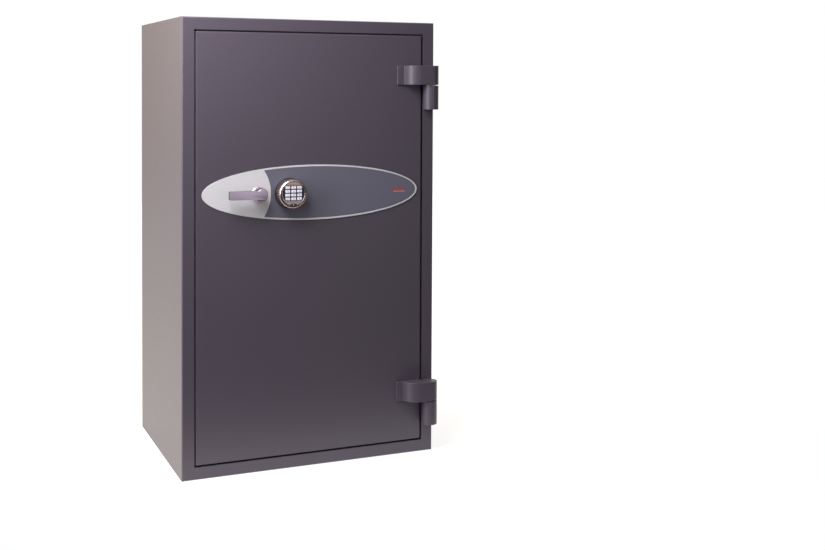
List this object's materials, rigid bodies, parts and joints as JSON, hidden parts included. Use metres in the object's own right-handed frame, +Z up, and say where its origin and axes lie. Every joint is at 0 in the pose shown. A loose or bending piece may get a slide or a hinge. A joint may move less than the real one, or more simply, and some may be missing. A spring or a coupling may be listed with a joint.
{
  "type": "safe",
  "caption": "Tall free-standing steel safe with a right-hinged door, lever-driven boltwork, keypad lock and shelves.",
  "frame": {"origin": "centre of the cabinet's base, on the floor plane", "axes": "+X to the right seen from the front, +Y to the back, +Z up; the door faces -Y"},
  "size_m": [0.723, 0.595, 1.22],
  "materials": {
    "body_paint": "fine textured grey powder coat",
    "liner_paint": "light grey satin paint",
    "barrier_mix": "cast barrier mix, rough",
    "plain_steel": "machined steel",
    "plated_steel": "bright zinc plate",
    "badge_silver": "fine satin silver",
    "badge_panel": "satin blue grey",
    "satin_metal": "satin, slightly lilac grey",
    "polished_nickel": "polished, warm nickel",
    "dark_plastic": "moulded, fine texture",
    "key_plastic": "moulded, soft sheen",
    "seal_rubber": "soft black fire seal",
    "bearing_brass": "machined",
    "circuit_board": "solder mask",
    "cable_sheath": "smooth sheath",
    "battery_case": "plain wrapped case"
  },
  "bodies": {
    "cabinet": {"outer_casing": "body_paint", "back_panel": "body_paint", "door_frame": "body_paint", "barrier_fill": "barrier_mix", "inner_liner": "liner_paint", "door_seal": "seal_rubber", "shelf_lower": "liner_paint", "shelf_middle": "liner_paint", "shelf_upper": "liner_paint", "shelf_rail_front_left": "plated_steel", "shelf_rail_front_right": "plated_steel", "shelf_rail_rear_left": "plated_steel", "shelf_rail_rear_right": "plated_steel", "hinge_knuckle_upper": "body_paint", "hinge_knuckle_lower": "body_paint", "hinge_pin_upper": "plated_steel", "hinge_pin_lower": "plated_steel", "hinge_washer_upper": "bearing_brass", "hinge_washer_lower": "bearing_brass"},
    "door": {"door_front_plate": "body_paint", "door_pan": "body_paint", "door_barrier_fill": "barrier_mix", "hardplate": "plain_steel", "door_back_cover": "liner_paint", "fixed_bolt_strip": "plated_steel", "hinge_arm_upper": "body_paint", "hinge_arm_lower": "body_paint", "badge_backplate": "badge_silver", "badge_panel": "badge_panel", "handle_rosette": "satin_metal", "spindle_bush": "bearing_brass", "lock_case": "plain_steel", "lock_cable": "cable_sheath", "keypad_base": "dark_plastic", "keypad_housing": "polished_nickel", "keypad_face": "dark_plastic", "keypad_board": "circuit_board"},
    "handle": {"handle_lever": "satin_metal", "handle_spindle": "plated_steel", "pinion_large": "plain_steel", "pinion_small": "plain_steel"},
    "side_bolts": {"side_carriage": "plain_steel"},
    "top_bolts": {"top_carriage": "plain_steel"},
    "bottom_bolts": {"bottom_carriage": "plain_steel"},
    "lock_bolt": {"lock_bolt": "bearing_brass"},
    "battery_drawer": {"battery_tray": "dark_plastic", "battery": "battery_case"},
    "key_1": {"key_1": "key_plastic"},
    "key_2": {"key_2": "key_plastic"},
    "key_3": {"key_3": "key_plastic"},
    "key_4": {"key_4": "key_plastic"},
    "key_5": {"key_5": "key_plastic"},
    "key_6": {"key_6": "key_plastic"},
    "key_7": {"key_7": "key_plastic"},
    "key_8": {"key_8": "key_plastic"},
    "key_9": {"key_9": "key_plastic"},
    "key_star": {"key_star": "key_plastic"},
    "key_0": {"key_0": "key_plastic"},
    "key_hash": {"key_hash": "key_plastic"}
  },
  "joints": [
    {"name": "door_swing", "type": "hinge", "parent": "cabinet", "child": "door", "pos_m": [0.3415, -0.297, 0.6], "axis": [0, 0, 1], "range_deg": [0, 175]},
    {"name": "handle_turn", "type": "hinge", "parent": "door", "child": "handle", "pos_m": [-0.155, -0.306, 0.751], "axis": [0, -1, 0], "range_deg": [0, 90]},
    {"name": "side_bolts_slide", "type": "slide", "parent": "door", "child": "side_bolts", "axis": [-1, 0, 0], "range_m": [0, 0.0378]},
    {"name": "top_bolts_slide", "type": "slide", "parent": "door", "child": "top_bolts", "axis": [0, 0, 1], "range_m": [0, 0.0284]},
    {"name": "bottom_bolts_slide", "type": "slide", "parent": "door", "child": "bottom_bolts", "axis": [0, 0, -1], "range_m": [0, 0.0284]},
    {"name": "lock_bolt_slide", "type": "slide", "parent": "door", "child": "lock_bolt", "axis": [-1, 0, 0], "range_m": [0, 0.009]},
    {"name": "battery_tray_slide", "type": "slide", "parent": "door", "child": "battery_drawer", "axis": [0, 0, -1], "range_m": [0, 0.05]},
    {"name": "key_1_press", "type": "slide", "parent": "door", "child": "key_1", "axis": [0, 1, 0], "range_m": [0, 0.001], "stiffness_N_per_m": 800},
    {"name": "key_2_press", "type": "slide", "parent": "door", "child": "key_2", "axis": [0, 1, 0], "range_m": [0, 0.001], "stiffness_N_per_m": 800},
    {"name": "key_3_press", "type": "slide", "parent": "door", "child": "key_3", "axis": [0, 1, 0], "range_m": [0, 0.001], "stiffness_N_per_m": 800},
    {"name": "key_4_press", "type": "slide", "parent": "door", "child": "key_4", "axis": [0, 1, 0], "range_m": [0, 0.001], "stiffness_N_per_m": 800},
    {"name": "key_5_press", "type": "slide", "parent": "door", "child": "key_5", "axis": [0, 1, 0], "range_m": [0, 0.001], "stiffness_N_per_m": 800},
    {"name": "key_6_press", "type": "slide", "parent": "door", "child": "key_6", "axis": [0, 1, 0], "range_m": [0, 0.001], "stiffness_N_per_m": 800},
    {"name": "key_7_press", "type": "slide", "parent": "door", "child": "key_7", "axis": [0, 1, 0], "range_m": [0, 0.001], "stiffness_N_per_m": 800},
    {"name": "key_8_press", "type": "slide", "parent": "door", "child": "key_8", "axis": [0, 1, 0], "range_m": [0, 0.001], "stiffness_N_per_m": 800},
    {"name": "key_9_press", "type": "slide", "parent": "door", "child": "key_9", "axis": [0, 1, 0], "range_m": [0, 0.001], "stiffness_N_per_m": 800},
    {"name": "key_star_press", "type": "slide", "parent": "door", "child": "key_star", "axis": [0, 1, 0], "range_m": [0, 0.001], "stiffness_N_per_m": 800},
    {"name": "key_0_press", "type": "slide", "parent": "door", "child": "key_0", "axis": [0, 1, 0], "range_m": [0, 0.001], "stiffness_N_per_m": 800},
    {"name": "key_hash_press", "type": "slide", "parent": "door", "child": "key_hash", "axis": [0, 1, 0], "range_m": [0, 0.001], "stiffness_N_per_m": 800}
  ],
  "couplings": [
    {"joint": "side_bolts_slide", "follows": "handle_turn", "m_per_rad": 0.024},
    {"joint": "top_bolts_slide", "follows": "handle_turn", "m_per_rad": 0.018},
    {"joint": "bottom_bolts_slide", "follows": "handle_turn", "m_per_rad": 0.018}
  ]
}
